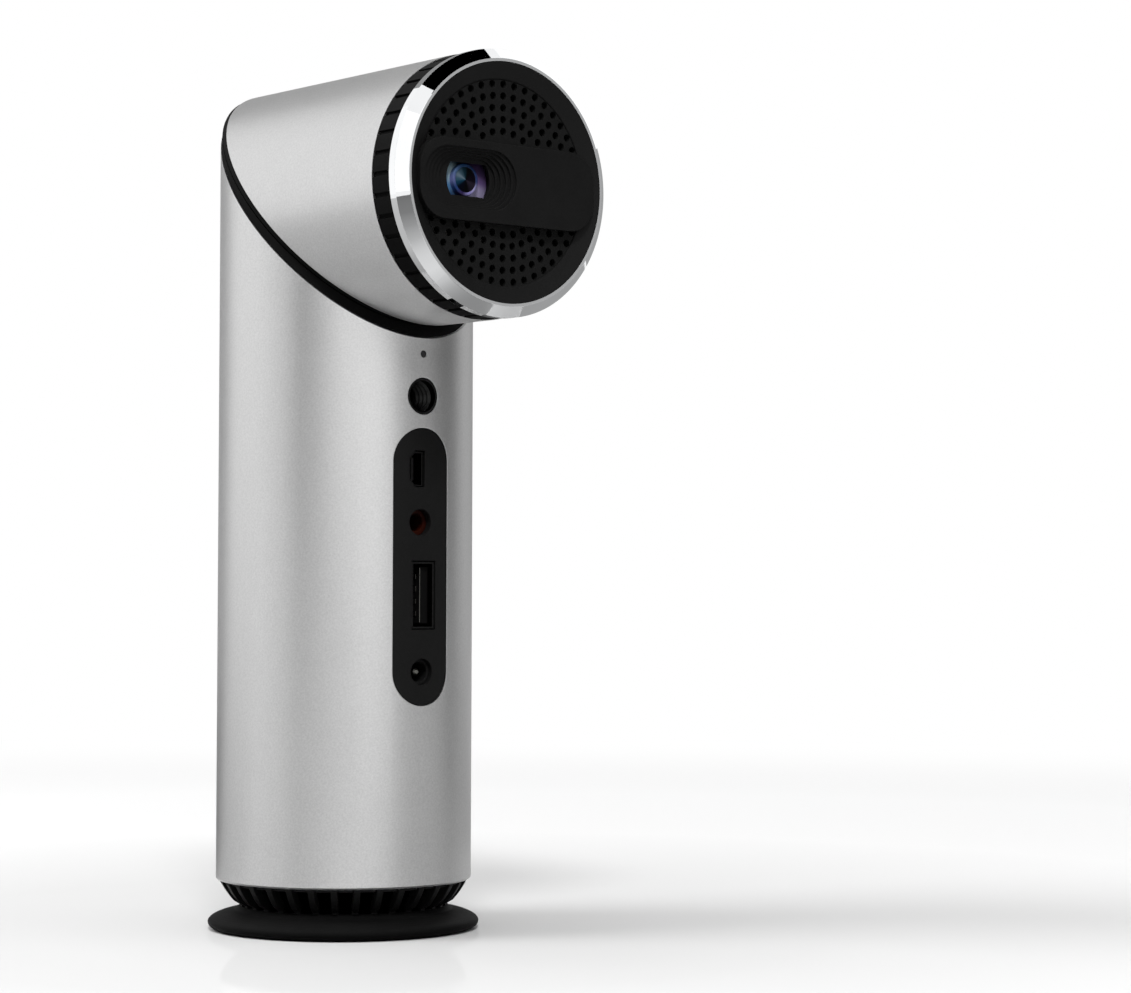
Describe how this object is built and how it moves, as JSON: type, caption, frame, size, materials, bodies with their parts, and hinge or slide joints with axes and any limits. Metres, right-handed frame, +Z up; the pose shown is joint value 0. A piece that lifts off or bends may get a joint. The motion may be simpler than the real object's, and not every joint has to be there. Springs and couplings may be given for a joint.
{
  "type": "video projector",
  "caption": "Cylindrical pocket video projector on a ribbed vent base, with a 45-degree swivel head, notched focus ring, port panel and a column of push buttons.",
  "frame": {"origin": "centre of the foot pad on the table", "axes": "+Z up along the body tube, -Y the way the head points at rest, +X to the right of someone who faces the lens"},
  "size_m": [0.0552, 0.0803, 0.1735],
  "materials": {
    "silver_anodised": "sand-blasted satin anodising",
    "spun_metal": "spun face with a bright bevel",
    "polished_chrome": "mirror polish",
    "black_plastic": "fine satin",
    "dark_plastic": "moulded satin",
    "rubber_pad": "matte",
    "steel": "plated",
    "dark_steel": "blackened",
    "jack_plastic": "dull",
    "pale_plastic": "moulded",
    "circuit_board": "solder resist",
    "cell_wrap": "shrink sleeve",
    "cable_sleeve": "matte",
    "engine_alloy": "die-cast",
    "led_ceramic": "ceramic",
    "optical_glass": "polished",
    "coated_glass": "blue anti-reflection coating",
    "smoked_pipe": "smoked"
  },
  "bodies": {
    "body": {"lower_tube": "silver_anodised", "base_foot": "black_plastic", "foot_pad": "rubber_pad", "vent_cage": "black_plastic", "base_screws": "steel", "fan_frame": "dark_plastic", "chassis": "dark_plastic", "battery_cells": "cell_wrap", "battery_tray": "dark_plastic", "main_board": "circuit_board", "board_chips": "dark_plastic", "board_screws": "steel", "port_panel": "black_plastic", "video_socket": "dark_steel", "audio_jack": "jack_plastic", "usb_shell": "dark_steel", "usb_tongue": "dark_plastic", "dc_jack": "black_plastic", "dc_pin": "steel", "tripod_insert": "dark_steel", "light_pipes": "smoked_pipe", "button_board": "circuit_board", "tact_switches": "dark_plastic", "body_joint_ring": "black_plastic", "friction_washer": "pale_plastic", "lower_cable": "cable_sleeve"},
    "head": {"head_tube": "silver_anodised", "head_joint_ring": "black_plastic", "pivot_sleeve": "steel", "pivot_clip": "steel", "bezel_ring": "polished_chrome", "front_grille": "black_plastic", "lens_bezel": "black_plastic", "front_frame": "dark_plastic", "head_screws": "steel", "engine_housing": "engine_alloy", "engine_lid": "engine_alloy", "tir_prism": "optical_glass", "collimator_lenses": "optical_glass", "led_modules": "led_ceramic", "dmd_chip": "led_ceramic", "engine_board": "circuit_board", "engine_heatsink": "engine_alloy", "speaker": "dark_plastic", "head_cable": "cable_sleeve", "focus_key": "steel"},
    "focus_collar": {"focus_ring": "black_plastic"},
    "focus_wheel": {"lens_gear": "pale_plastic"},
    "lens": {"lens_barrel": "dark_plastic", "front_lens": "coated_glass", "rear_lens": "optical_glass"},
    "fan": {"fan_rotor": "dark_plastic"},
    "menu_key": {"menu_button": "spun_metal"},
    "ok_key": {"ok_button": "spun_metal"},
    "up_key": {"up_button": "spun_metal"},
    "down_key": {"down_button": "spun_metal"},
    "left_key": {"left_button": "spun_metal"},
    "right_key": {"right_button": "spun_metal"},
    "power_key": {"power_button": "spun_metal"}
  },
  "joints": [
    {"name": "head_swivel", "type": "hinge", "parent": "body", "child": "head", "pos_m": [0, 0, 0.1475], "axis": [0, -0.7071, 0.7071], "range_deg": [0, 180]},
    {"name": "focus_turn", "type": "hinge", "parent": "head", "child": "focus_collar", "pos_m": [0, -0.046, 0.1475], "axis": [0, -1, 0], "range_deg": [-50, 50]},
    {"name": "focus_gear_turn", "type": "hinge", "parent": "head", "child": "focus_wheel", "pos_m": [-0.0085, -0.0445, 0.1475], "axis": [0, -1, 0], "range_deg": [-92, 92]},
    {"name": "lens_slide", "type": "slide", "parent": "head", "child": "lens", "axis": [0, -1, 0], "range_m": [-0.0006, 0.0006]},
    {"name": "fan_spin", "type": "hinge", "parent": "body", "child": "fan", "pos_m": [0, 0, 0.01705], "axis": [0, 0, 1], "continuous": true},
    {"name": "menu_press", "type": "slide", "parent": "body", "child": "menu_key", "axis": [0, -1, 0], "range_m": [0, 0.0005], "stiffness_N_per_m": 400},
    {"name": "ok_press", "type": "slide", "parent": "body", "child": "ok_key", "axis": [0, -1, 0], "range_m": [0, 0.0005], "stiffness_N_per_m": 400},
    {"name": "up_press", "type": "slide", "parent": "body", "child": "up_key", "axis": [0, -1, 0], "range_m": [0, 0.0005], "stiffness_N_per_m": 400},
    {"name": "down_press", "type": "slide", "parent": "body", "child": "down_key", "axis": [0, -1, 0], "range_m": [0, 0.0005], "stiffness_N_per_m": 400},
    {"name": "left_press", "type": "slide", "parent": "body", "child": "left_key", "axis": [0, -1, 0], "range_m": [0, 0.0005], "stiffness_N_per_m": 400},
    {"name": "right_press", "type": "slide", "parent": "body", "child": "right_key", "axis": [0, -1, 0], "range_m": [0, 0.0005], "stiffness_N_per_m": 400},
    {"name": "power_press", "type": "slide", "parent": "body", "child": "power_key", "axis": [0, -1, 0], "range_m": [0, 0.0005], "stiffness_N_per_m": 400}
  ],
  "couplings": [
    {"joint": "focus_gear_turn", "follows": "focus_turn", "ratio": 1.6538},
    {"joint": "lens_slide", "follows": "focus_turn", "m_per_rad": 0.000573}
  ]
}
